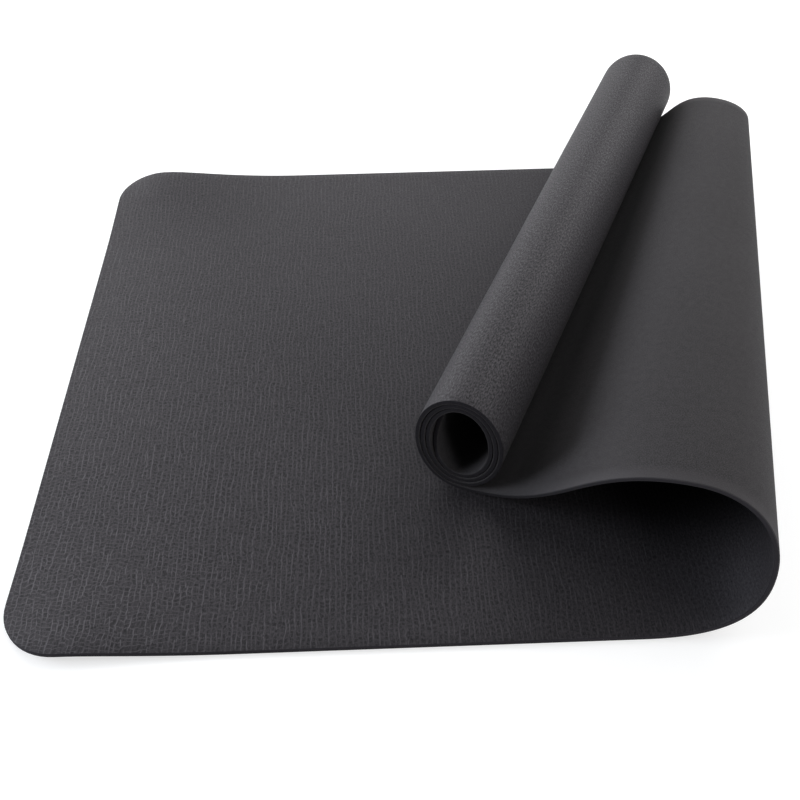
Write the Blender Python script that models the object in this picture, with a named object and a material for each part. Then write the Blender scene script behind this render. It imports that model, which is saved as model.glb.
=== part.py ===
"""Foam camping mat, half unrolled: a grained facing bonded over a closed-cell foam sheet.

The mat lies flat on its foam side with the grained side up. It folds back over itself in one
open loop, taller at the front edge than at the back, and ends in a loose roll that rests on
the flat run. The roll leans to the right towards the back, because the fold is skewed, and so
the grain is on the outside of the roll and the plain foam is on top of the fold.

Metres, +Z up. The front edge of the flat run faces -Y and its loose end faces -X. The origin
is on the ground, under the middle of the whole folded mat.
"""
import math

import bpy
import numpy as np

# The mat as it was cut.
MAT_LENGTH = 1.81
MAT_WIDTH = 0.68
CORNER_RADIUS = 0.0495

# The laminate, from the ground up where the mat lies flat.
FOAM_THICKNESS = 0.0031
BOND_LINE = 0.0003
FACING_THICKNESS = 0.0008
MAT_THICKNESS = FOAM_THICKNESS + BOND_LINE + FACING_THICKNESS

# Air left between one layer of the mat and the next that lies on it.
LAYER_AIR = 0.0006

# Where the folded-back layer comes down at its front corner, from the flat run's front left
# corner, and how far the roll's axis leans from the mat's width.
LANDING_X = 0.376
LANDING_Y = 0.1585
ROLL_LEAN = math.radians(24.1)

# The loop at the front edge. The first three are distances to the right of the landing.
FRONT_LIFT_OFF = 0.1355
FRONT_BULGE = 0.226
FRONT_CREST = 0.161
FRONT_BULGE_HEIGHT = 0.0695
FRONT_CREST_HEIGHT = 0.134

# The loop at the back edge, in the same way.
BACK_LIFT_OFF = 0.0495
BACK_BULGE = 0.1175
BACK_CREST = 0.076
BACK_BULGE_HEIGHT = 0.0585
BACK_CREST_HEIGHT = 0.0785

# The skewed fold carries each edge backwards as it goes over: the shares of the whole shift
# that are done at the bulge and at the crest, and of the lean that the crest's direction has.
BULGE_SHIFT_SHARE = 0.068
CREST_SHIFT_SHARE = 0.283
CREST_LEAN_SHARE = 0.7
BULGE_SLANT_SHARE = 0.25

# How far each of the loop's three bends is pulled along its end directions, as shares of the
# height or the reach that the bend spans in that direction. The back edge stays high for longer
# and then drops down closer to the roll.
LIFT_OFF_PULL_SHARE = 0.67
RISE_PULL_SHARE = 0.67
TURN_PULL_SHARE = 0.633
OVER_PULL_SHARE = 0.611
FRONT_CREST_PULL_SHARE = 0.472
FRONT_LANDING_PULL_SHARE = 0.5
BACK_CREST_PULL_SHARE = 0.515
BACK_LANDING_PULL_SHARE = 0.491

# The roll: the mean clear radius that is left at its inner end, how much taller than wide each
# of its ends stands, and how far each turn stands behind the last at the front.
ROLL_BORE_RADIUS = 0.0283
FRONT_TALLER = 0.025
BACK_TALLER = 0.007
TURN_STEP_BACK = 0.0005

# The two long edges of the flat run lift a little near their loose corners: how far from the
# loose end each is highest, how high it stands there, and how far round that place it reaches.
BACK_CURL_PLACE = 0.0605
BACK_CURL_HEIGHT = 0.0125
BACK_CURL_REACH = 0.1555
FRONT_CURL_PLACE = 0.0585
FRONT_CURL_HEIGHT = 0.0063
FRONT_CURL_REACH = 0.129

# How finely the sheet is divided.
CORNER_STEPS = 6
RISE_STEPS = 12
OVER_STEPS = 10
DESCENT_STEPS = 16
STEPS_PER_TURN = 40
FLAT_RUN_SHARES = (0.0, 0.06, 0.12, 0.18, 0.24, 0.32, 0.5, 0.75, 1.0)
ACROSS_SHARES = (0.0, 0.07, 0.14, 0.5, 0.78, 0.86, 0.93, 1.0)

UP = np.array((0.0, 0.0, 1.0))


def unit(vector):
    """Return the vector at length 1."""
    return np.asarray(vector, float) / np.linalg.norm(vector)


def roll_axis():
    """Return the roll's direction along the mat's width, and the one square to it."""
    along = np.array((math.sin(ROLL_LEAN), math.cos(ROLL_LEAN), 0.0))
    square = np.array((math.cos(ROLL_LEAN), -math.sin(ROLL_LEAN), 0.0))
    return along, square


def bend(start, first_pull, second_pull, end, steps):
    """Return the points of one smooth bend between two ends, drawn towards two pull points."""
    share = np.linspace(0.0, 1.0, steps + 1)[:, None]
    rest = 1.0 - share
    return (rest ** 3 * start + 3 * rest ** 2 * share * first_pull
            + 3 * rest * share ** 2 * second_pull + share ** 3 * end)


def loop_edge(edge_y, landing, lift_off, bulge, bulge_height, crest, crest_height,
              crest_pull, landing_pull):
    """Return one long edge's middle line, from the flat run's end round to its landing.

    The pull points never lie lower than the bend's own ends, so the mat doesn't dip into the
    ground as it rises, nor into the flat run as it comes down.
    """
    shift = landing[1] - edge_y
    start = np.array((landing[0] + lift_off, edge_y, MAT_THICKNESS / 2))
    widest = np.array((landing[0] + bulge, edge_y + shift * BULGE_SHIFT_SHARE, bulge_height))
    top = np.array((landing[0] + crest, edge_y + shift * CREST_SHIFT_SHARE, crest_height))
    crest_lean = ROLL_LEAN * CREST_LEAN_SHARE
    outward = unit((1.0, 0.0, 0.0))
    upward = unit((0.0, BULGE_SLANT_SHARE, 1.0))
    over = unit((-math.cos(crest_lean), math.sin(crest_lean), 0.0))
    back = -roll_axis()[1]
    reach = widest[0] - start[0]
    rise_height = widest[2] - start[2]
    turn_height = top[2] - widest[2]
    swing = widest[0] - top[0]
    return_run = math.hypot(landing[0] - top[0], landing[1] - top[1])
    rise = bend(start, start + outward * reach * LIFT_OFF_PULL_SHARE,
                widest - upward * rise_height * RISE_PULL_SHARE, widest, RISE_STEPS)
    turn = bend(widest, widest + upward * turn_height * TURN_PULL_SHARE,
                top - over * swing * OVER_PULL_SHARE, top, OVER_STEPS)
    descent = bend(top, top + over * return_run * crest_pull,
                   landing - back * return_run * landing_pull, landing, DESCENT_STEPS)
    return np.vstack((rise, turn[1:], descent[1:]))


def path_length(points):
    """Return the length of a line through the points."""
    return float(np.linalg.norm(np.diff(points, axis=0), axis=1).sum())


def corner_inset(from_end):
    """Return how far a rounded corner draws the long edge in, at a distance from the end."""
    left = max(CORNER_RADIUS - from_end, 0.0)
    return CORNER_RADIUS - math.sqrt(CORNER_RADIUS ** 2 - left ** 2)


def corner_distances():
    """Return distances from the mat's end that follow its rounded corners in even steps."""
    quarter = math.pi / 2
    return [CORNER_RADIUS * (1.0 - math.cos(quarter * step / CORNER_STEPS))
            for step in range(CORNER_STEPS + 1)]


def flat_run(front_end, back_end):
    """Return the front and back edge's stations from the loose end to the loop."""
    front, back = [], []
    for distance in corner_distances():
        inset = corner_inset(distance)
        front.append((distance, inset, MAT_THICKNESS / 2))
        back.append((distance, MAT_WIDTH - inset, MAT_THICKNESS / 2))
    for share in FLAT_RUN_SHARES[1:]:
        front_x = CORNER_RADIUS + (front_end - CORNER_RADIUS) * share
        back_x = CORNER_RADIUS + (back_end - CORNER_RADIUS) * share
        front.append((front_x, 0.0, MAT_THICKNESS / 2))
        back.append((back_x, MAT_WIDTH, MAT_THICKNESS / 2))
    return np.array(front), np.array(back)


def roll_run(landing, length):
    """Return the roll's front and back edges, from its underside round to its inner end.

    The middle line is a spiral that draws in by one layer a turn. Its inner end leaves the
    named bore, and its outer radius follows from the length that is wound. It stands a little
    taller than wide, more so at the front, where the high fold holds it up.
    """
    along, square = roll_axis()
    layer = MAT_THICKNESS + LAYER_AIR
    inner_radius = ROLL_BORE_RADIUS + MAT_THICKNESS / 2
    outer_radius = math.sqrt(inner_radius ** 2 + layer * length / math.pi)

    def angle_at(distance):
        radius = math.sqrt(outer_radius ** 2 - layer * distance / math.pi)
        return math.tau * (outer_radius - radius) / layer

    full_steps = int(angle_at(length - CORNER_RADIUS) * STEPS_PER_TURN / math.tau)
    angles = [math.tau * step / STEPS_PER_TURN for step in range(full_steps + 1)]
    angles += [angle_at(length - distance) for distance in reversed(corner_distances())]
    insets = [0.0] * (full_steps + 1)
    insets += [corner_inset(distance) for distance in reversed(corner_distances())]
    front, back = [], []
    for angle, inset in zip(angles, insets):
        radius = outer_radius - layer * angle / math.tau
        step_back = TURN_STEP_BACK * angle / math.tau
        for edge, taller, place in ((front, FRONT_TALLER / 4, inset),
                                    (back, BACK_TALLER / 4, MAT_WIDTH - inset)):
            sideways = -math.sin(angle) * (radius - taller)
            height = outer_radius + taller - math.cos(angle) * (radius + taller)
            edge.append(landing + square * sideways + UP * height + along * (place + step_back))
    return np.array(front), np.array(back)


def sheet_edges():
    """Return the stations of the front and of the back edge along the whole mat."""
    along, square = roll_axis()
    upper_middle = MAT_THICKNESS + LAYER_AIR + MAT_THICKNESS / 2
    front_landing = np.array((LANDING_X, LANDING_Y, upper_middle))
    back_landing = front_landing + along * MAT_WIDTH
    front_loop = loop_edge(0.0, front_landing, FRONT_LIFT_OFF, FRONT_BULGE,
                           FRONT_BULGE_HEIGHT, FRONT_CREST, FRONT_CREST_HEIGHT,
                           FRONT_CREST_PULL_SHARE, FRONT_LANDING_PULL_SHARE)
    back_loop = loop_edge(MAT_WIDTH, back_landing, BACK_LIFT_OFF, BACK_BULGE,
                          BACK_BULGE_HEIGHT, BACK_CREST, BACK_CREST_HEIGHT,
                          BACK_CREST_PULL_SHARE, BACK_LANDING_PULL_SHARE)
    front_flat, back_flat = flat_run(front_loop[0][0], back_loop[0][0])
    used = (path_length(front_loop) + path_length(back_loop)) / 2
    used += (front_loop[0][0] + back_loop[0][0]) / 2
    front_roll, back_roll = roll_run(front_landing, MAT_LENGTH - used)
    front = np.vstack((front_flat, front_loop[1:], front_roll[1:]))
    back = np.vstack((back_flat, back_loop[1:], back_roll[1:]))
    return front, back


def curl(points):
    """Lift the flat run's two long edges near their loose corners."""
    places = ((FRONT_CURL_PLACE, 0.0, FRONT_CURL_HEIGHT, FRONT_CURL_REACH),
              (BACK_CURL_PLACE, MAT_WIDTH, BACK_CURL_HEIGHT, BACK_CURL_REACH))
    for place_x, place_y, height, reach in places:
        away = np.hypot(points[..., 0] - place_x, points[..., 1] - place_y)
        low = points[..., 2] < MAT_THICKNESS
        points[..., 2] += np.where(low, height * np.clip(1.0 - away / reach, 0.0, 1.0) ** 2, 0.0)


def sheet_surface():
    """Return the mat's middle surface as a grid of points, with its grain-side directions."""
    front, back = sheet_edges()
    across = np.array(ACROSS_SHARES)[None, :, None]
    points = front[:, None, :] * (1.0 - across) + back[:, None, :] * across
    curl(points)
    length_way = np.gradient(points, axis=0)
    width_way = np.gradient(points, axis=1)
    normals = np.cross(length_way, width_way)
    normals /= np.linalg.norm(normals, axis=2, keepdims=True)
    return points, normals


def least_air():
    """Return the least air among the roll's turns and the layer that leads into them.

    It is measured on the points of both edges, from the loop's crest to the inner end, between
    points that lie more than half a turn apart along the mat.
    """
    square = roll_axis()[1]
    half_turn = math.pi * (ROLL_BORE_RADIUS + MAT_THICKNESS / 2)
    air = []
    for edge in sheet_edges():
        wound = edge[CORNER_STEPS + len(FLAT_RUN_SHARES) - 1 + RISE_STEPS + OVER_STEPS:]
        section = np.column_stack((wound @ square, wound[:, 2]))
        steps = np.linalg.norm(np.diff(section, axis=0), axis=1)
        along = np.concatenate(([0.0], np.cumsum(steps)))
        apart = np.linalg.norm(section[:, None] - section[None, :], axis=2)
        other_turn = np.abs(along[:, None] - along[None, :]) > half_turn
        air.append(apart[other_turn].min() - MAT_THICKNESS)
    return float(min(air))


def add_layer(name, points, normals, low, high, material):
    """Make one closed layer of the laminate between two heights on the middle surface."""
    stations, columns = points.shape[:2]
    lower = (points + normals * low).reshape(-1, 3)
    upper = (points + normals * high).reshape(-1, 3)
    count = stations * columns

    def at(station, column, side):
        return side * count + station * columns + column

    # Every cell is cut along the same diagonal on all faces, so bonded layers stay parallel.
    faces = []
    for station in range(stations - 1):
        for column in range(columns - 1):
            here, ahead = (station, column), (station + 1, column)
            beyond, beside = (station + 1, column + 1), (station, column + 1)
            for corners in ((here, ahead, beyond), (here, beyond, beside)):
                faces.append([at(*corner, 1) for corner in corners])
                faces.append([at(*corner, 0) for corner in reversed(corners)])
    rim = [(station, 0) for station in range(stations)]
    rim += [(stations - 1, column) for column in range(1, columns)]
    rim += [(station, columns - 1) for station in range(stations - 2, -1, -1)]
    rim += [(0, column) for column in range(columns - 2, 0, -1)]
    for here, there in zip(rim, rim[1:] + rim[:1]):
        faces.append([at(*here, 0), at(*there, 0), at(*there, 1), at(*here, 1)])
    mesh = bpy.data.meshes.new(name)
    mesh.from_pydata(np.vstack((lower, upper)).tolist(), [], faces)
    mesh.materials.append(material)
    mesh.shade_smooth()
    mesh.set_sharp_from_angle(angle=math.radians(40))
    layer = bpy.data.objects.new(name, mesh)
    bpy.context.scene.collection.objects.link(layer)
    return layer


def add_material(name, colour, roughness):
    """Make a plain material with the given linear colour."""
    material = bpy.data.materials.new(name)
    material.use_nodes = True
    shader = material.node_tree.nodes["Principled BSDF"]
    shader.inputs["Base Color"].default_value = (*colour, 1.0)
    shader.inputs["Roughness"].default_value = roughness
    shader.inputs["Metallic"].default_value = 0.0
    return material


def main():
    """Build the two bonded layers, centred over the origin."""
    for old in list(bpy.data.objects):
        bpy.data.objects.remove(old)
    points, normals = sheet_surface()
    half = MAT_THICKNESS / 2
    skins = np.concatenate((points - normals * half, points + normals * half)).reshape(-1, 3)
    middle = (skins.min(axis=0) + skins.max(axis=0)) / 2
    points = points - np.array((middle[0], middle[1], 0.0))
    charcoal = add_material("grained_charcoal", (0.040, 0.038, 0.042), 0.55)
    soft_charcoal = add_material("foam_charcoal", (0.052, 0.051, 0.054), 0.85)
    foam_top = -half + FOAM_THICKNESS
    facing_base = half - FACING_THICKNESS
    foam = add_layer("foam_sheet", points, normals, -half, foam_top, soft_charcoal)
    facing = add_layer("grained_facing", points, normals, facing_base, half, charcoal)
    mat = bpy.data.objects.new("mat", None)
    bpy.context.scene.collection.objects.link(mat)
    foam.parent = mat
    facing.parent = mat
    print("least air in the roll: %.2f mm" % (least_air() * 1000))


main()
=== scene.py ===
"""Visual model of the foam camping mat, half unrolled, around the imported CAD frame.

Two pieces stand for the two bonded layers: mat_foam, with the plain side and the cut edge, and
mat_facing, with the embossed grain. Both follow the same fold and roll as the solids, in finer
steps and with softened cut edges. Their patterns are drawn on the mat's flat pattern, so the
grain runs on over the fold and round the roll.

Metres, +Z up. The front edge of the flat run faces -Y and its loose end faces -X.
"""
import math

import bpy
import numpy as np
from mathutils import Matrix, Vector


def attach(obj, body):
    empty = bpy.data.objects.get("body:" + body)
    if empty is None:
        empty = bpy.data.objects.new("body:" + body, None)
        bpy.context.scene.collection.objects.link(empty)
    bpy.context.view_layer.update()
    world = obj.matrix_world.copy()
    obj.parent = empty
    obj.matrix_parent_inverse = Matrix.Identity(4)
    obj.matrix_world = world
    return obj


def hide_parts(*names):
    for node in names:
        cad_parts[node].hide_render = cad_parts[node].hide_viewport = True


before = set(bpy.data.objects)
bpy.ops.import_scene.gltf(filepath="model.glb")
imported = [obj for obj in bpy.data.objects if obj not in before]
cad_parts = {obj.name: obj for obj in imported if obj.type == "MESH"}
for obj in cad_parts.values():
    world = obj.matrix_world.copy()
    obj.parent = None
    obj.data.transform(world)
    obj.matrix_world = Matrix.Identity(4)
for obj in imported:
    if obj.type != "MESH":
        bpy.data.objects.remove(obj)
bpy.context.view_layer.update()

# The mat, as the solids have it

MAT_LENGTH = 1.81
MAT_WIDTH = 0.68
CORNER_RADIUS = 0.0495
FACING_THICKNESS = 0.0008
MAT_THICKNESS = 0.0042
LAYER_AIR = 0.0006

LANDING_X = 0.376
LANDING_Y = 0.1585
ROLL_LEAN = math.radians(24.1)

FRONT_LIFT_OFF = 0.1355
FRONT_BULGE = 0.226
FRONT_CREST = 0.161
FRONT_BULGE_HEIGHT = 0.0695
FRONT_CREST_HEIGHT = 0.134
BACK_LIFT_OFF = 0.0495
BACK_BULGE = 0.1175
BACK_CREST = 0.076
BACK_BULGE_HEIGHT = 0.0585
BACK_CREST_HEIGHT = 0.0785

BULGE_SHIFT_SHARE = 0.068
CREST_SHIFT_SHARE = 0.283
CREST_LEAN_SHARE = 0.7
BULGE_SLANT_SHARE = 0.25
LIFT_OFF_PULL_SHARE = 0.67
RISE_PULL_SHARE = 0.67
TURN_PULL_SHARE = 0.633
OVER_PULL_SHARE = 0.611
FRONT_CREST_PULL_SHARE = 0.472
FRONT_LANDING_PULL_SHARE = 0.5
BACK_CREST_PULL_SHARE = 0.515
BACK_LANDING_PULL_SHARE = 0.491

ROLL_BORE_RADIUS = 0.0283
FRONT_TALLER = 0.025
BACK_TALLER = 0.007
TURN_STEP_BACK = 0.0005

# The curls of the long edges near the loose corners, which differ from the solids' curls by
# less than 3 mm: these have rounded tops.
BACK_CURL_PLACE = 0.0552
BACK_CURL_HEIGHT = 0.0099
BACK_CURL_REACH = 0.1388
FRONT_CURL_PLACE = 0.0524
FRONT_CURL_HEIGHT = 0.0052
FRONT_CURL_REACH = 0.1183
CURL_TIP_ROUND = 0.025

# The look alone: the softened corner of the cut edge, the band beside it that looks like the
# plain side, and how finely the sheet is divided.
EDGE_ROUND = 0.0005
EDGE_STEPS = 3
PALE_BAND = 0.0005
SHARP_ANGLE = math.radians(50.0)
CORNER_STEPS = 14
FLAT_STEPS = 60
RISE_STEPS = 40
OVER_STEPS = 36
DESCENT_STEPS = 60
STEPS_PER_TURN = 110
ACROSS_STEPS = 64

UP = np.array((0.0, 0.0, 1.0))


def unit(vector):
    """Return the vector at length 1."""
    return np.asarray(vector, float) / np.linalg.norm(vector)


def roll_axis():
    """Return the roll's direction along the mat's width, and the one square to it."""
    along = np.array((math.sin(ROLL_LEAN), math.cos(ROLL_LEAN), 0.0))
    square = np.array((math.cos(ROLL_LEAN), -math.sin(ROLL_LEAN), 0.0))
    return along, square


def bend(start, first_pull, second_pull, end, steps):
    """Return the points of one smooth bend between two ends, drawn towards two pull points."""
    share = np.linspace(0.0, 1.0, steps + 1)[:, None]
    rest = 1.0 - share
    return (rest ** 3 * start + 3 * rest ** 2 * share * first_pull
            + 3 * rest * share ** 2 * second_pull + share ** 3 * end)


def loop_edge(edge_y, landing, lift_off, bulge, bulge_height, crest, crest_height,
              crest_pull, landing_pull):
    """Return one long edge's middle line, from the flat run's end round to its landing."""
    shift = landing[1] - edge_y
    start = np.array((landing[0] + lift_off, edge_y, MAT_THICKNESS / 2))
    widest = np.array((landing[0] + bulge, edge_y + shift * BULGE_SHIFT_SHARE, bulge_height))
    top = np.array((landing[0] + crest, edge_y + shift * CREST_SHIFT_SHARE, crest_height))
    crest_lean = ROLL_LEAN * CREST_LEAN_SHARE
    outward = unit((1.0, 0.0, 0.0))
    upward = unit((0.0, BULGE_SLANT_SHARE, 1.0))
    over = unit((-math.cos(crest_lean), math.sin(crest_lean), 0.0))
    back = -roll_axis()[1]
    reach = widest[0] - start[0]
    rise_height = widest[2] - start[2]
    turn_height = top[2] - widest[2]
    swing = widest[0] - top[0]
    return_run = math.hypot(landing[0] - top[0], landing[1] - top[1])
    rise = bend(start, start + outward * reach * LIFT_OFF_PULL_SHARE,
                widest - upward * rise_height * RISE_PULL_SHARE, widest, RISE_STEPS)
    turn = bend(widest, widest + upward * turn_height * TURN_PULL_SHARE,
                top - over * swing * OVER_PULL_SHARE, top, OVER_STEPS)
    descent = bend(top, top + over * return_run * crest_pull,
                   landing - back * return_run * landing_pull, landing, DESCENT_STEPS)
    return np.vstack((rise, turn[1:], descent[1:]))


def path_length(points):
    """Return the length of a line through the points."""
    return float(np.linalg.norm(np.diff(points, axis=0), axis=1).sum())


def corner_stations():
    """Return distances from the mat's end and insets from its long edges, round one corner.

    They follow the mat's outline drawn in by the width of the softened edge.
    """
    turn = np.linspace(0.0, math.pi / 2, CORNER_STEPS + 1)
    radius = CORNER_RADIUS - EDGE_ROUND
    return (EDGE_ROUND + radius * (1.0 - np.cos(turn)), EDGE_ROUND + radius * (1.0 - np.sin(turn)))


def roll_run(landing, length):
    """Return the roll's front and back edges, from its underside round to its inner end.

    Each end is oval: higher than wide by its taller value, a quarter of it at each radius.
    """
    along, square = roll_axis()
    layer = MAT_THICKNESS + LAYER_AIR
    inner_radius = ROLL_BORE_RADIUS + MAT_THICKNESS / 2
    outer_radius = math.sqrt(inner_radius ** 2 + layer * length / math.pi)

    def angle_at(distance):
        """Return how far the spiral has turned after this length of the sheet."""
        radius = math.sqrt(outer_radius ** 2 - layer * distance / math.pi)
        return math.tau * (outer_radius - radius) / layer

    full_steps = int(angle_at(length - CORNER_RADIUS) * STEPS_PER_TURN / math.tau)
    angles = [math.tau * step / STEPS_PER_TURN for step in range(full_steps + 1)]
    angles += [angle_at(length - distance) for distance in corner_stations()[0][::-1]]
    front, back = [], []
    for angle in angles:
        radius = outer_radius - layer * angle / math.tau
        step_back = TURN_STEP_BACK * angle / math.tau
        for edge, taller, place in ((front, FRONT_TALLER / 4, 0.0),
                                    (back, BACK_TALLER / 4, MAT_WIDTH)):
            sideways = -math.sin(angle) * (radius - taller)
            height = outer_radius + taller - math.cos(angle) * (radius + taller)
            edge.append(landing + square * sideways + UP * height + along * (place + step_back))
    return np.array(front), np.array(back)


def curl(points):
    """Lift the flat run's two long edges near their loose corners.

    Only the flat run has its middle line lower than one thickness.
    """
    places = ((FRONT_CURL_PLACE, 0.0, FRONT_CURL_HEIGHT, FRONT_CURL_REACH),
              (BACK_CURL_PLACE, MAT_WIDTH, BACK_CURL_HEIGHT, BACK_CURL_REACH))
    for place_x, place_y, height, reach in places:
        away = np.sqrt((points[..., 0] - place_x) ** 2 + (points[..., 1] - place_y) ** 2
                       + CURL_TIP_ROUND ** 2) - CURL_TIP_ROUND
        low = points[..., 2] < MAT_THICKNESS
        points[..., 2] += np.where(low, height * np.clip(1.0 - away / reach, 0.0, 1.0) ** 2, 0.0)


def sheet_surface():
    """Return the mat's middle surface, its grain-side directions and its flat pattern.

    The flat pattern gives each point's distance from the loose end and from the front edge.
    """
    along = roll_axis()[0]
    upper_middle = MAT_THICKNESS + LAYER_AIR + MAT_THICKNESS / 2
    front_landing = np.array((LANDING_X, LANDING_Y, upper_middle))
    back_landing = front_landing + along * MAT_WIDTH
    front_loop = loop_edge(0.0, front_landing, FRONT_LIFT_OFF, FRONT_BULGE,
                           FRONT_BULGE_HEIGHT, FRONT_CREST, FRONT_CREST_HEIGHT,
                           FRONT_CREST_PULL_SHARE, FRONT_LANDING_PULL_SHARE)
    back_loop = loop_edge(MAT_WIDTH, back_landing, BACK_LIFT_OFF, BACK_BULGE,
                          BACK_BULGE_HEIGHT, BACK_CREST, BACK_CREST_HEIGHT,
                          BACK_CREST_PULL_SHARE, BACK_LANDING_PULL_SHARE)
    distances, insets = corner_stations()
    share = np.linspace(0.0, 1.0, FLAT_STEPS + 1)[1:]
    flats = []
    for loop in (front_loop, back_loop):
        run = np.concatenate((distances, CORNER_RADIUS + (loop[0][0] - CORNER_RADIUS) * share))
        flats.append(np.column_stack((run, np.full_like(run, loop[0][1]),
                                      np.full_like(run, MAT_THICKNESS / 2))))
    used = (path_length(front_loop) + path_length(back_loop)) / 2
    used += (front_loop[0][0] + back_loop[0][0]) / 2
    front_roll, back_roll = roll_run(front_landing, MAT_LENGTH - used)
    front = np.vstack((flats[0], front_loop[1:], front_roll[1:]))
    back = np.vstack((flats[1], back_loop[1:], back_roll[1:]))

    inset = np.full(len(front), EDGE_ROUND)
    inset[:len(insets)] = insets
    inset[-len(insets):] = insets[::-1]
    even = np.linspace(0.0, 1.0, ACROSS_STEPS + 1)[None, :]
    across = inset[:, None] + (MAT_WIDTH - 2 * inset[:, None]) * even
    shares = (across / MAT_WIDTH)[:, :, None]
    points = front[:, None, :] * (1.0 - shares) + back[:, None, :] * shares
    ruled = front[:, None, :] * (1.0 - even[:, :, None]) + back[:, None, :] * even[:, :, None]
    steps = np.linalg.norm(np.diff(ruled, axis=0), axis=2)
    along_mat = np.vstack((np.zeros(ACROSS_STEPS + 1), np.cumsum(steps, axis=0))) + distances[0]
    curl(points)
    normals = np.cross(np.gradient(points, axis=0), np.gradient(points, axis=1))
    normals /= np.linalg.norm(normals, axis=2, keepdims=True)
    return points, normals, np.dstack((along_mat, across))


# Meshes of the layers

def rim_order(stations, columns):
    """Return the grid's rim as flat indices, once round, the front edge first."""
    rim = [(station, 0) for station in range(stations)]
    rim += [(stations - 1, column) for column in range(1, columns)]
    rim += [(station, columns - 1) for station in range(stations - 2, -1, -1)]
    rim += [(0, column) for column in range(columns - 2, 0, -1)]
    return np.array([station * columns + column for station, column in rim])


def edge_profile(low, high, round_low, round_high):
    """Return the cut edge's rings from its upper to its lower side: (outward, height)."""
    quarter = [math.pi / 2 * step / EDGE_STEPS for step in range(1, EDGE_STEPS + 1)]
    rings = []
    if round_high:
        rings += [(EDGE_ROUND * math.sin(turn), high - EDGE_ROUND * (1.0 - math.cos(turn)))
                  for turn in quarter]
    else:
        rings.append((EDGE_ROUND, high))
    if round_low:
        rings.append((EDGE_ROUND, low + EDGE_ROUND + PALE_BAND))
        rings += [(EDGE_ROUND * math.sin(turn), low + EDGE_ROUND * (1.0 - math.cos(turn)))
                  for turn in reversed(quarter)]
    else:
        rings.append((EDGE_ROUND, low))
    return rings


def add_layer(name, sheet, low, high, round_low, round_high, materials):
    """Make one closed layer of the laminate with a softened cut edge.

    The mesh carries the flat pattern as its map "pattern", which goes on over the edge.
    """
    points, normals, pattern = sheet
    stations, columns = points.shape[:2]
    count = stations * columns
    rim = rim_order(stations, columns)
    flat_points, flat_normals = points.reshape(-1, 3), normals.reshape(-1, 3)
    flat_pattern = pattern.reshape(-1, 2)
    along_rim = np.roll(flat_points[rim], -1, axis=0) - np.roll(flat_points[rim], 1, axis=0)
    outward = np.cross(along_rim, flat_normals[rim])
    outward /= np.linalg.norm(outward, axis=1, keepdims=True)
    turn = np.roll(flat_pattern[rim], -1, axis=0) - np.roll(flat_pattern[rim], 1, axis=0)
    pattern_out = np.column_stack((turn[:, 1], -turn[:, 0]))
    pattern_out /= np.linalg.norm(pattern_out, axis=1, keepdims=True)

    vertices = [flat_points + flat_normals * high, flat_points + flat_normals * low]
    maps = [flat_pattern, flat_pattern]
    run, last = 0.0, (0.0, high)
    for out, height in edge_profile(low, high, round_low, round_high):
        run += math.hypot(out - last[0], height - last[1])
        last = (out, height)
        vertices.append(flat_points[rim] + outward * out + flat_normals[rim] * height)
        maps.append(flat_pattern[rim] + pattern_out * run)
    vertices, maps = np.vstack(vertices), np.vstack(maps)

    station, column = np.meshgrid(np.arange(stations - 1), np.arange(columns - 1), indexing="ij")
    here = (station * columns + column).ravel()
    quad = np.column_stack((here, here + columns, here + columns + 1, here + 1))
    faces = [quad, quad[:, ::-1] + count]
    rings = [rim]
    rings += [np.arange(len(rim)) + 2 * count + len(rim) * ring
              for ring in range((len(vertices) - 2 * count) // len(rim))]
    rings.append(rim + count)
    for upper, lower in zip(rings, rings[1:]):
        faces.append(np.column_stack((lower, np.roll(lower, -1), np.roll(upper, -1), upper)))
    cut_from = len(quad) * 2
    faces = np.vstack(faces)

    mesh = bpy.data.meshes.new(name)
    mesh.from_pydata(vertices.tolist(), [], faces.tolist())
    for material in materials:
        mesh.materials.append(material)
    layer_map = mesh.uv_layers.new(name="pattern")
    layer_map.uv.foreach_set("vector", maps[faces.ravel()].astype(np.float32).ravel())
    slots = np.zeros(len(faces), np.int32)
    slots[cut_from:] = 1
    if round_low:
        # The rounded corner and the band beside it look like the plain side.
        slots[len(faces) - len(rim) * (EDGE_STEPS + 1):] = 0
    mesh.polygons.foreach_set("material_index", slots)
    mesh.shade_smooth()
    mesh.set_sharp_from_angle(angle=SHARP_ANGLE)
    mesh.validate()
    layer = bpy.data.objects.new(name, mesh)
    bpy.context.scene.collection.objects.link(layer)
    return layer


# Materials

# The places of a Mix node's colour sockets, because their names are used more than once there.
MIX_FIRST_COLOUR = 6
MIX_SECOND_COLOUR = 7
MIX_COLOUR = 2


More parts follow.
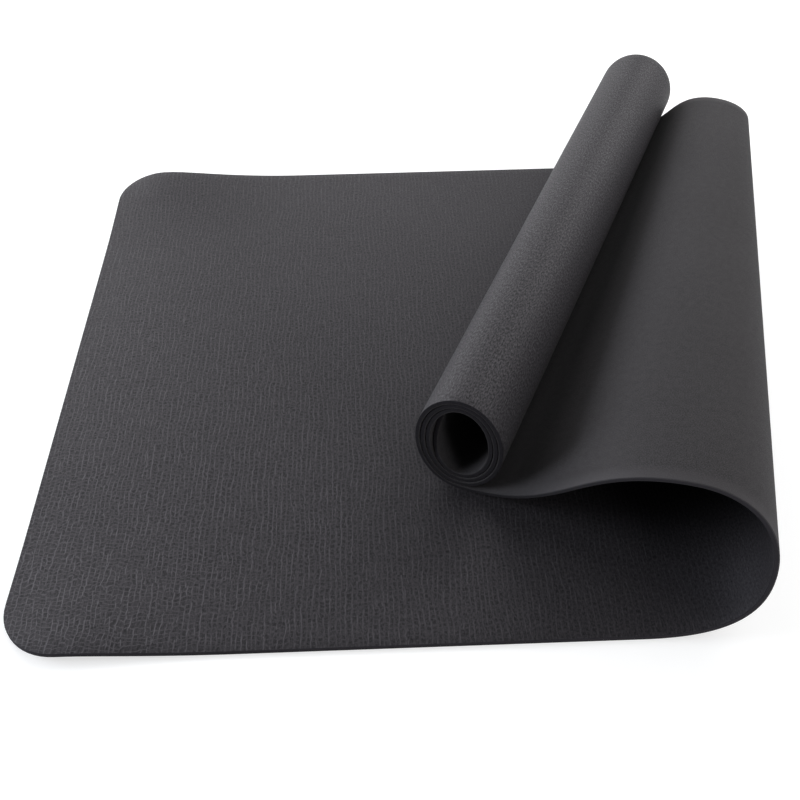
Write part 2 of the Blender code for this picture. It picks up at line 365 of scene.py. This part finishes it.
class Nodes:
    """Adds nodes to a material in few words."""

    def __init__(self, name):
        self.material = bpy.data.materials.new(name)
        self.material.use_nodes = True
        self.tree = self.material.node_tree
        self.shader = self.tree.nodes["Principled BSDF"]

    def link(self, source, target):
        """Link an output to an input."""
        self.tree.links.new(source, target)

    def value(self, target, given):
        """Link an output to an input, or set the input to a plain value."""
        if isinstance(given, bpy.types.NodeSocket):
            self.link(given, target)
        else:
            target.default_value = given

    def math(self, operation, first, second=0.0, clamp=False):
        """Return the result of one Math node."""
        node = self.tree.nodes.new("ShaderNodeMath")
        node.operation = operation
        node.use_clamp = clamp
        self.value(node.inputs[0], first)
        self.value(node.inputs[1], second)
        return node.outputs[0]

    def plus(self, first, second):
        """Return the sum of two values."""
        return self.math("ADD", first, second)

    def minus(self, first, second):
        """Return the first value less the second."""
        return self.math("SUBTRACT", first, second)

    def times(self, first, second):
        """Return the product of two values."""
        return self.math("MULTIPLY", first, second)

    def fade(self, source, low, high, at_low, at_high):
        """Go smoothly from one value to another as the source goes from low to high."""
        node = self.tree.nodes.new("ShaderNodeMapRange")
        node.interpolation_type = "SMOOTHSTEP"
        self.value(node.inputs["Value"], source)
        for socket, number in zip(("From Min", "From Max", "To Min", "To Max"),
                                  (low, high, at_low, at_high)):
            node.inputs[socket].default_value = number
        return node.outputs["Result"]

    def pattern(self):
        """Return the place on the flat pattern: as a vector, along the mat and across it."""
        node = self.tree.nodes.new("ShaderNodeUVMap")
        node.uv_map = "pattern"
        parts = self.tree.nodes.new("ShaderNodeSeparateXYZ")
        self.link(node.outputs["UV"], parts.inputs[0])
        return node.outputs["UV"], parts.outputs[0], parts.outputs[1]

    def join(self, first, second):
        """Return the vector of two values."""
        node = self.tree.nodes.new("ShaderNodeCombineXYZ")
        self.value(node.inputs[0], first)
        self.value(node.inputs[1], second)
        return node.outputs[0]

    def noise(self, vector, cycles, detail=2.0, roughness=0.5):
        """Return smooth noise from 0 to 1, with so many cycles to each unit of the vector."""
        node = self.tree.nodes.new("ShaderNodeTexNoise")
        self.link(vector, node.inputs["Vector"])
        node.inputs["Scale"].default_value = cycles
        node.inputs["Detail"].default_value = detail
        node.inputs["Roughness"].default_value = roughness
        return node.outputs["Fac"]

    def stretched_noise(self, along, across, cycles, detail=2.0, roughness=0.5):
        """Return smooth noise with its own cycles per metre along the mat and across it."""
        stretched = self.join(self.times(along, cycles[0]), self.times(across, cycles[1]))
        return self.noise(stretched, 1.0, detail, roughness)

    def draw(self, dimensions, socket, key):
        """Return a fixed random value from 0 to 1 for each key."""
        node = self.tree.nodes.new("ShaderNodeTexWhiteNoise")
        node.noise_dimensions = dimensions
        self.link(key, node.inputs[socket])
        return node.outputs["Value"]

    def blend(self, share, first, second):
        """Return the first colour, with a share of the second."""
        node = self.tree.nodes.new("ShaderNodeMix")
        node.data_type = "RGBA"
        self.value(node.inputs["Factor"], share)
        self.value(node.inputs[MIX_FIRST_COLOUR], first)
        self.value(node.inputs[MIX_SECOND_COLOUR], second)
        return node.outputs[MIX_COLOUR]

    def bump(self, height, distance, under=None):
        """Return the normal of a relief, on top of the relief under it."""
        node = self.tree.nodes.new("ShaderNodeBump")
        node.inputs["Distance"].default_value = distance
        node.inputs["Strength"].default_value = 1.0
        self.link(height, node.inputs["Height"])
        if under is not None:
            self.link(under, node.inputs["Normal"])
        return node.outputs["Normal"]

    def finish(self, colour, roughness, normal, specular, glint, sheen):
        """Set the shader's inputs and return the material."""
        self.link(colour, self.shader.inputs["Base Color"])
        self.link(roughness, self.shader.inputs["Roughness"])
        self.link(normal, self.shader.inputs["Normal"])
        self.shader.inputs["Specular IOR Level"].default_value = specular
        self.shader.inputs["Specular Tint"].default_value = glint
        self.shader.inputs["Sheen Weight"].default_value = sheen
        self.shader.inputs["Sheen Roughness"].default_value = SHEEN_ROUGHNESS
        return self.material


# A fade is (low, high, value at low, value at high). Cycles are counted per metre, and a pair
# of them is along the mat and across it. Columns and rows are counted in cells of the grain.
HALF = 0.5
SHEEN_ROUGHNESS = 0.5

# The grain's colour from pit to ridge: partly its own tone, partly painted shade in the pits and
# painted highlight on the ridges.
GRAIN_PIT = (0.0050, 0.0046, 0.0051, 1.0)
GRAIN_RIDGE = (0.0550, 0.0508, 0.0566, 1.0)
GRAIN_GLINT = (0.95, 0.92, 1.0, 1.0)
GRAIN_SPECULAR = 0.25
GRAIN_SHEEN = 0.02
GRAIN_ROUGHNESS = (0.0, 1.0, 0.66, 0.50)
GRAIN_RELIEF = 0.00022
GRAIN_FLOOR = 0.36
GRAIN_MEAN = 0.31
GRAIN_LEVEL = 0.35
COLUMN_WIDTH = 0.0042
OTHER_COLUMN_WIDTH = 0.0047
CELL_LENGTH = 0.0043

# Where the painted glint on the grain's ridges is strong: along the mat, across it and into the
# fold.
PAINTED_GLINT_ALONG = (0.15, 0.68, 1.0, 0.40)
PAINTED_GLINT_ACROSS = (0.05, 0.60, 1.0, 0.60)
PAINTED_GLINT_INTO_FOLD = (0.46, 0.64, 1.0, 0.60)
CLOUD_CYCLES = 5.0
CLOUD_TONE = 0.16
ROUNDER_ALONG = 2.0
ROUNDER_ACROSS = 0.7
ROUNDER_CLOUD = 1.2
ROUNDER = (0.55, 1.35, 1.0, 0.0)

RIPPLE_CYCLES = 130.0
RIPPLE_REACH = 0.0034
SPACING_CYCLES = (90.0, 14.0)
SPACING_REACH = 0.0034
SWAY_CYCLES = 13.0
SWAY_REACH = 0.014
OTHER_SWAY_CYCLES = 19.0
OTHER_SWAY_REACH = 0.009
TURNS_CYCLES = (34.0, 15.0)

RIDGE_SIDE = (0.02, 0.18, 1.0, 0.0)
RIDGE_HEIGHT = 0.72
RIDGE_ROUNDER_HEIGHT = 0.22
HELD_CYCLES = (190.0, 60.0)
HELD = (0.36, 0.60, 0.28, 1.05)
UNEVEN_CYCLES = 85.0
UNEVEN_ROWS = 2.6
PIT_DEPTH = (0.0, 1.0, 0.16, 0.32)
PIT_ROUNDER_RISE = 0.09
PIT_COLUMN_SIDE = (0.10, 0.30, 0.0, 1.0)
PIT_ROW_SIDE = (0.04, 0.20, 0.0, 1.0)
WALL_SIDE = (0.02, 0.15, 1.0, 0.0)
WALL_HEIGHT = 0.24
WALL_ROUNDER_HEIGHT = 0.54

SPECK_CYCLES = (850.0, 320.0)
SPECK_TONE = (0.80, 1.05, 1.25, 2.8)
SPECK_RELIEF = 0.00005


def grain_material():
    """The embossed side: a leather grain of low ridges across the mat, with small pits between."""
    grain = Nodes("grained_charcoal_look")
    pattern, along, across = grain.pattern()

    def centred(noise):
        return grain.minus(noise, HALF)

    def swayed(cycles, reach):
        return grain.plus(along, grain.times(centred(grain.noise(pattern, cycles)), reach))

    # The grain's contrast is a painted glint: strongest near the front edge of the loose end,
    # where the light grazes the ridges, weaker over the sheet and calmer from the fold on.
    painted_glint_strength = grain.times(grain.fade(along, *PAINTED_GLINT_ALONG), grain.fade(across, *PAINTED_GLINT_ACROSS))
    painted_glint_strength = grain.times(painted_glint_strength, grain.fade(along, *PAINTED_GLINT_INTO_FOLD))

    # Its cells are rounder near the loose end, in clouds.
    cloud = grain.noise(pattern, CLOUD_CYCLES, detail=3.0, roughness=0.55)
    rounder = grain.plus(grain.times(along, ROUNDER_ALONG), grain.times(across, ROUNDER_ACROSS))
    rounder = grain.fade(grain.plus(rounder, grain.times(cloud, ROUNDER_CLOUD)), *ROUNDER)

    # Two sets of columns take turns over the sheet, so that ridges end, start and fork.
    ripple = grain.times(centred(grain.noise(pattern, RIPPLE_CYCLES)),
                         grain.times(painted_glint_strength, RIPPLE_REACH))
    spacing = centred(grain.stretched_noise(along, across, SPACING_CYCLES, detail=1.0))
    ripple = grain.plus(ripple, grain.times(spacing, SPACING_REACH))
    first = grain.math("DIVIDE", grain.plus(swayed(SWAY_CYCLES, SWAY_REACH), ripple),
                       COLUMN_WIDTH)
    other = grain.math("DIVIDE", grain.plus(swayed(OTHER_SWAY_CYCLES, OTHER_SWAY_REACH), ripple),
                       OTHER_COLUMN_WIDTH)
    swap = grain.math("GREATER_THAN", grain.stretched_noise(along, across, TURNS_CYCLES), HALF)
    column = grain.plus(first, grain.times(swap, grain.minus(other, first)))

    # The ridges between the columns, which grow stronger and weaker along their way.
    inside = grain.math("PINGPONG", column, HALF)
    held = grain.fade(grain.stretched_noise(along, across, HELD_CYCLES, detail=1.0), *HELD)
    ridge = grain.times(grain.times(grain.fade(inside, *RIDGE_SIDE), held),
                        grain.plus(RIDGE_HEIGHT, grain.times(rounder, RIDGE_ROUNDER_HEIGHT)))

    # The pits, one after another down each column, each column shifted on its own.
    shift = grain.draw("1D", "W", grain.math("FLOOR", column))
    uneven = grain.times(grain.noise(pattern, UNEVEN_CYCLES, detail=1.0), UNEVEN_ROWS)
    row = grain.plus(grain.math("DIVIDE", across, CELL_LENGTH), grain.plus(uneven, shift))
    between = grain.math("PINGPONG", row, HALF)
    cell = grain.join(grain.math("FLOOR", column), grain.math("FLOOR", row))
    depth = grain.minus(grain.fade(grain.draw("2D", "Vector", cell), *PIT_DEPTH),
                        grain.times(rounder, PIT_ROUNDER_RISE))
    pit = grain.times(grain.fade(inside, *PIT_COLUMN_SIDE), grain.fade(between, *PIT_ROW_SIDE))
    sunk = grain.times(pit, depth)

    # Cross walls join the ridges into rounder cells in places, most near the loose end.
    cross_wall = grain.times(grain.fade(between, *WALL_SIDE),
                             grain.plus(WALL_HEIGHT, grain.times(rounder, WALL_ROUNDER_HEIGHT)))
    net = grain.math("MAXIMUM", grain.minus(GRAIN_FLOOR, sunk), cross_wall)
    height = grain.times(grain.minus(grain.math("MAXIMUM", net, ridge), GRAIN_MEAN), painted_glint_strength)

    # Fine specks lie over it all, strongest on the roll.
    fine = grain.stretched_noise(along, across, SPECK_CYCLES, roughness=0.6)
    speckled = grain.times(centred(fine), grain.fade(along, *SPECK_TONE))
    tone = grain.plus(grain.plus(height, GRAIN_LEVEL), speckled)
    tone = grain.math("ADD", tone, grain.times(centred(cloud), CLOUD_TONE), clamp=True)
    normal = grain.bump(fine, SPECK_RELIEF, grain.bump(height, GRAIN_RELIEF))
    # The colour follows the relief, paler on the ridges and darker in the pits: partly the grain's
    # own tone, partly painted highlight and painted shade.
    return grain.finish(grain.blend(tone, GRAIN_PIT, GRAIN_RIDGE),
                        grain.fade(tone, *GRAIN_ROUGHNESS), normal,
                        GRAIN_SPECULAR, GRAIN_GLINT, GRAIN_SHEEN)


FOAM_DARK = (0.0105, 0.0098, 0.0105, 1.0)
FOAM_PALE = (0.0365, 0.0341, 0.0362, 1.0)
# A painted highlight along the plain side's long edges, outside the roll.
FOAM_PAINTED_HIGHLIGHT = (0.0480, 0.0450, 0.0480, 1.0)
FOAM_SPECULAR = 0.21
FOAM_SHEEN = 0.03
CUT_DARK = (0.0077, 0.0070, 0.0086, 1.0)
CUT_PALE = (0.0175, 0.0160, 0.0194, 1.0)
# Painted light on the cut edge outside the roll, where light from the floor in front reaches it;
# on the roll's ends the cut keeps its darker colours.
CUT_PAINTED_LIGHT = (0.0215, 0.0198, 0.0236, 1.0)
CUT_SPECULAR = 0.15
CUT_SHEEN = 0.02
FOAM_GLINT = (0.98, 0.95, 1.0, 1.0)
FOAM_ROUGHNESS = (0.2, 0.8, 0.86, 0.74)

SPECKLE_CYCLES = 1100.0
SPECKLE_TONE = 2.7
SPECKLE_RELIEF = 0.00008
MOTTLE_CYCLES = 160.0
MOTTLE_TONE = 0.50
MOTTLE_RELIEF = 0.00012
FOAM_CLOUD_CYCLES = 7.0
FOAM_CLOUD_TONE = 0.30
FOAM_TONE_BASE = 1.25
PAINTED_LIGHT_OUTSIDE_ROLL = (0.85, 1.0, 1.0, 0.0)
# How far in from the long edges the painted highlight reaches.
PAINTED_HIGHLIGHT_EDGE = (0.0, 0.016, 0.75, 0.0)


def foam_material(name, dark, pale, painted_light, only_long_edges, specular, sheen):
    """Smooth matt foam with a fine speckle of cells, and painted light outside the roll.

    There it is painted lighter all over, or has only a painted highlight along the sheet's two
    long edges.
    """
    foam = Nodes(name)
    pattern, along, across = foam.pattern()
    speckle = foam.noise(pattern, SPECKLE_CYCLES, roughness=0.6)
    mottle = foam.noise(pattern, MOTTLE_CYCLES, detail=3.0, roughness=0.55)
    cloud = foam.noise(pattern, FOAM_CLOUD_CYCLES, detail=3.0)
    tone = foam.plus(foam.times(speckle, SPECKLE_TONE), foam.times(mottle, MOTTLE_TONE))
    tone = foam.plus(tone, foam.times(cloud, FOAM_CLOUD_TONE))
    tone = foam.math("SUBTRACT", tone, FOAM_TONE_BASE, clamp=True)
    # Painted light outside the roll: all over on the cut edge, and on the plain side only a
    # painted highlight along its long edges.
    painted_light_share = foam.fade(along, *PAINTED_LIGHT_OUTSIDE_ROLL)
    if only_long_edges:
        # The painted highlight on the plain side, in a band along its long edges.
        from_edge = foam.math("MINIMUM", across, foam.minus(MAT_WIDTH, across))
        painted_light_share = foam.times(foam.fade(from_edge, *PAINTED_HIGHLIGHT_EDGE), painted_light_share)
    normal = foam.bump(mottle, MOTTLE_RELIEF, foam.bump(speckle, SPECKLE_RELIEF))
    return foam.finish(foam.blend(painted_light_share, foam.blend(tone, dark, pale), painted_light),
                       foam.fade(tone, *FOAM_ROUGHNESS), normal, specular, FOAM_GLINT, sheen)


# The two layers

sheet = sheet_surface()
half = MAT_THICKNESS / 2
skins = np.concatenate((sheet[0] - sheet[1] * half, sheet[0] + sheet[1] * half)).reshape(-1, 3)
middle = (skins.min(axis=0) + skins.max(axis=0)) / 2
sheet = (sheet[0] - np.array((middle[0], middle[1], 0.0)), sheet[1], sheet[2])

foam_look = foam_material("foam_charcoal_look", FOAM_DARK, FOAM_PALE, FOAM_PAINTED_HIGHLIGHT, True,
                          FOAM_SPECULAR, FOAM_SHEEN)
cut_look = foam_material("cut_edge_look", CUT_DARK, CUT_PALE, CUT_PAINTED_LIGHT, False,
                         CUT_SPECULAR, CUT_SHEEN)
grain_look = grain_material()
bond = half - FACING_THICKNESS

mat_foam = add_layer("mat_foam", sheet, -half, bond, True, False, [foam_look, cut_look])
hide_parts("foam_sheet")
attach(mat_foam, "root")

mat_facing = add_layer("mat_facing", sheet, bond, half, False, True, [grain_look, cut_look])
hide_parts("grained_facing")
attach(mat_facing, "root")

# Floor, world and lights

FLOOR_SIZE = 2.6
FLOOR_DROP = 0.0002
FLOOR_COLOUR = (0.80, 0.80, 0.80, 1.0)
FLOOR_SEEN_COLOUR = (0.55, 0.55, 0.55, 1.0)
FLOOR_SEEN_GLOW = 0.59
PURE_WHITE = (1.0, 1.0, 1.0, 1.0)


def add_floor():
    """A pale floor that the camera sees as white and that still shows the mat's shadow."""
    mesh = bpy.data.meshes.new("studio_floor")
    side = FLOOR_SIZE / 2
    corners = [(-side, -side, -FLOOR_DROP), (side, -side, -FLOOR_DROP),
               (side, side, -FLOOR_DROP), (-side, side, -FLOOR_DROP)]
    mesh.from_pydata(corners, [], [(0, 1, 2, 3)])
    material = bpy.data.materials.new("studio_floor_white")
    material.use_nodes = True
    nodes, links = material.node_tree.nodes, material.node_tree.links
    nodes.clear()
    output = nodes.new("ShaderNodeOutputMaterial")
    seen = nodes.new("ShaderNodeLightPath")
    plain = nodes.new("ShaderNodeBsdfDiffuse")
    plain.inputs["Color"].default_value = FLOOR_COLOUR
    shaded = nodes.new("ShaderNodeBsdfDiffuse")
    shaded.inputs["Color"].default_value = FLOOR_SEEN_COLOUR
    glow = nodes.new("ShaderNodeEmission")
    glow.inputs["Color"].default_value = PURE_WHITE
    glow.inputs["Strength"].default_value = FLOOR_SEEN_GLOW
    white = nodes.new("ShaderNodeAddShader")
    links.new(shaded.outputs[0], white.inputs[0])
    links.new(glow.outputs[0], white.inputs[1])
    either = nodes.new("ShaderNodeMath")
    either.operation = "MAXIMUM"
    links.new(seen.outputs["Is Camera Ray"], either.inputs[0])
    links.new(seen.outputs["Is Transmission Ray"], either.inputs[1])
    mix = nodes.new("ShaderNodeMixShader")
    links.new(either.outputs[0], mix.inputs["Fac"])
    links.new(plain.outputs[0], mix.inputs[1])
    links.new(white.outputs[0], mix.inputs[2])
    links.new(mix.outputs[0], output.inputs["Surface"])
    mesh.materials.append(material)
    floor = bpy.data.objects.new("studio_floor", mesh)
    bpy.context.scene.collection.objects.link(floor)


def add_world(strength):
    """Even light from all round, seen as white by the camera."""
    world = bpy.data.worlds.new("studio")
    bpy.context.scene.world = world
    world.use_nodes = True
    nodes, links = world.node_tree.nodes, world.node_tree.links
    background = nodes["Background"]
    background.inputs["Color"].default_value = PURE_WHITE
    background.inputs["Strength"].default_value = strength
    white = nodes.new("ShaderNodeBackground")
    white.inputs["Color"].default_value = PURE_WHITE
    white.inputs["Strength"].default_value = 1.0
    seen = nodes.new("ShaderNodeLightPath")
    mix = nodes.new("ShaderNodeMixShader")
    links.new(seen.outputs["Is Camera Ray"], mix.inputs["Fac"])
    links.new(background.outputs[0], mix.inputs[1])
    links.new(white.outputs[0], mix.inputs[2])
    links.new(mix.outputs[0], nodes["World Output"].inputs["Surface"])


def add_lamp(name, azimuth, elevation, share, colour):
    """A soft square lamp that shines on the middle of the mat.

    In degrees, azimuth 0 is behind the mat and 90 to its left. The share is of LAMP_POWER.
    """
    turn, rise = math.radians(azimuth), math.radians(elevation)
    place = LAMP_DISTANCE * Vector((-math.sin(turn) * math.cos(rise),
                                    math.cos(turn) * math.cos(rise), math.sin(rise)))
    lamp = bpy.data.lights.new(name, "AREA")
    lamp.shape = "SQUARE"
    lamp.size = LAMP_SIZE
    lamp.energy = LAMP_POWER * share
    lamp.color = colour
    light = bpy.data.objects.new(name, lamp)
    turned = (-place).normalized().to_track_quat("-Z", "Y").to_matrix().to_4x4()
    light.matrix_world = Matrix.Translation(place) @ turned
    bpy.context.scene.collection.objects.link(light)


WORLD_STRENGTH = 0.10
LAMP_DISTANCE = 2.0
LAMP_SIZE = 1.1
LAMP_POWER = 40.0
PALE_BLUE = (0.88, 0.93, 1.0)
WHITE = (1.0, 1.0, 1.0)
# Each lamp's name, azimuth, elevation, share of the power and colour.
LAMPS = (
    ("lamp_left", 90.0, 18.0, 0.94, PALE_BLUE),
    ("lamp_back_left", 45.0, 18.0, 0.52, WHITE),
    ("lamp_high_back_left", 45.0, 50.0, 0.19, WHITE),
    ("lamp_back", 0.0, 18.0, 0.19, WHITE),
    ("lamp_high_back", 0.0, 42.0, 0.10, WHITE),
    ("lamp_back_right", 315.0, 18.0, 0.12, WHITE),
    ("lamp_high_back_right", 315.0, 38.0, 0.39, WHITE),
    ("lamp_right", 270.0, 33.0, 0.21, WHITE),
    ("lamp_front_right", 225.0, 18.0, 0.51, WHITE),
)

add_floor()
add_world(WORLD_STRENGTH)
for lamp in LAMPS:
    add_lamp(*lamp)

# Camera

CAMERA_PLACE = (-0.0770, -0.8314, 0.7033)
CAMERA_PITCH = math.radians(44.719)
CAMERA_YAW = math.radians(1.518)
CAMERA_ROLL = math.radians(-0.744)
CAMERA_LENS = 45.9
SENSOR_WIDTH = 36.0


def add_camera():
    """The photograph's viewpoint, from above the front edge."""
    ahead = Vector((math.sin(CAMERA_YAW) * math.cos(CAMERA_PITCH),
                    math.cos(CAMERA_YAW) * math.cos(CAMERA_PITCH), -math.sin(CAMERA_PITCH)))
    right = Vector((math.cos(CAMERA_YAW), -math.sin(CAMERA_YAW), 0.0))
    above = right.cross(ahead)
    rolled_right = right * math.cos(CAMERA_ROLL) + above * math.sin(CAMERA_ROLL)
    rolled_above = above * math.cos(CAMERA_ROLL) - right * math.sin(CAMERA_ROLL)
    data = bpy.data.cameras.new("photo_camera")
    data.sensor_fit = "HORIZONTAL"
    data.sensor_width = SENSOR_WIDTH
    data.lens = CAMERA_LENS
    camera = bpy.data.objects.new("photo_camera", data)
    turned = Matrix((rolled_right, rolled_above, -ahead)).transposed().to_4x4()
    camera.matrix_world = Matrix.Translation(CAMERA_PLACE) @ turned
    bpy.context.scene.collection.objects.link(camera)
    bpy.context.scene.camera = camera


add_camera()
bpy.context.scene.view_settings.view_transform = "Standard"

bpy.context.view_layer.update()
